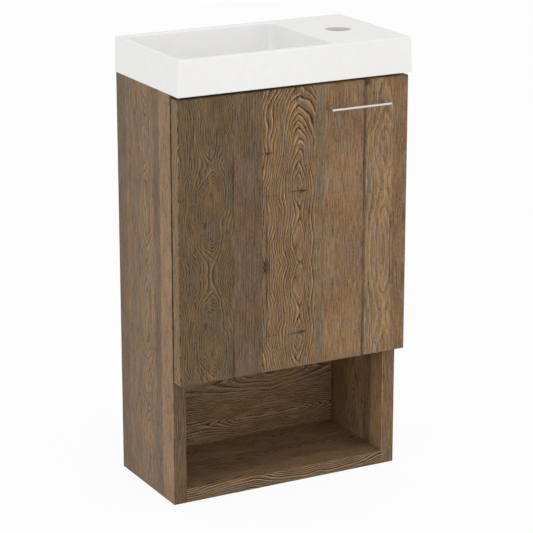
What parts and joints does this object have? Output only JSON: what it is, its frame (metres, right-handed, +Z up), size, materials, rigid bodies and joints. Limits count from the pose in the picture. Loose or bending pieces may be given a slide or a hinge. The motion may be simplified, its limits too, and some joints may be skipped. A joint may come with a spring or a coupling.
{
  "type": "vanity base cabinet",
  "caption": "Narrow wall-hung vanity base cabinet: a hinged door over a cupboard, an open niche below, and a slab basin on top with a steep bowl and a tap deck beside it.",
  "frame": {"origin": "under the middle of the whole object, handle included, at the level of the cabinet's underside", "axes": "+Z up, +Y towards the wall, +X to the right seen from the front; the door faces -Y and its hinges are at -X"},
  "size_m": [0.4, 0.233, 0.703],
  "materials": {
    "oak_board": "brushed oak grain melamine on chipboard, matt",
    "cast_marble": "gloss white gelcoat",
    "satin_nickel": "satin nickel plate",
    "beech": "bare turned beech",
    "clear_rubber": "clear silicone",
    "zinc_casting": "raw zinc die casting",
    "bright_steel": "bright zinc plate",
    "nickel_steel": "pressed steel, nickel plate",
    "white_plastic": "moulded, fine matt"
  },
  "bodies": {
    "cabinet": {"side_panel_left": "oak_board", "side_panel_right": "oak_board", "bottom_panel": "oak_board", "niche_shelf": "oak_board", "niche_back": "oak_board", "front_rail": "oak_board", "rear_rail": "oak_board", "basin": "cast_marble", "dowels": "beech", "cam_housings": "zinc_casting", "cam_bolts": "bright_steel", "hinge_plate_screws": "bright_steel", "hinge_arm_screws": "bright_steel", "hanger_adjusters": "bright_steel", "hinge_arm_lower": "nickel_steel", "hinge_arm_upper": "nickel_steel", "hinge_plate_lower": "nickel_steel", "hinge_plate_upper": "nickel_steel", "hanger_housing_left": "white_plastic", "hanger_housing_right": "white_plastic", "hanger_hook_left": "nickel_steel", "hanger_hook_right": "nickel_steel", "wall_plate_left": "nickel_steel", "wall_plate_right": "nickel_steel"},
    "door": {"door_panel": "oak_board", "door_bumpers": "clear_rubber", "handle": "satin_nickel", "handle_screws": "bright_steel", "hinge_cup_lower": "nickel_steel", "hinge_cup_upper": "nickel_steel", "hinge_cup_screws": "bright_steel", "hinge_pin_lower": "bright_steel", "hinge_pin_upper": "bright_steel"}
  },
  "joints": [
    {"name": "door_hinge", "type": "hinge", "parent": "cabinet", "child": "door", "pos_m": [-0.1885, -0.083, 0.422], "axis": [0, 0, -1], "range_deg": [0, 95]}
  ]
}
